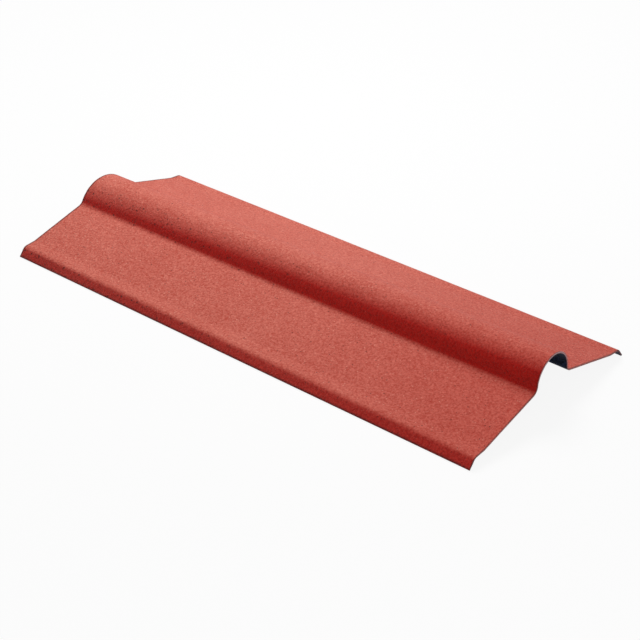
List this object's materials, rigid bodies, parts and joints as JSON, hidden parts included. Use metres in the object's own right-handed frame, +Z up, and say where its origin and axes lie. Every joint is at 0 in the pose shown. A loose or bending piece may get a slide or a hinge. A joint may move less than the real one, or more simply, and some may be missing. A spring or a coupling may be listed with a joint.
{
  "type": "roof ridge cap",
  "caption": "Long ridge cap for a corrugated roof: one moulded sheet with a round roll along its middle, a sloping wing on each side and a turned-down lip along each outer edge.",
  "frame": {"origin": "middle of the cap's footprint, on the floor that its lips stand on", "axes": "+X along the ridge towards the end with the taller, narrower roll, +Z up, Y across the ridge"},
  "size_m": [1, 0.42, 0.1025],
  "materials": {
    "red_sheet": "matt"
  },
  "bodies": {
    "root": {"ridge_cap": "red_sheet"}
  },
  "joints": []
}
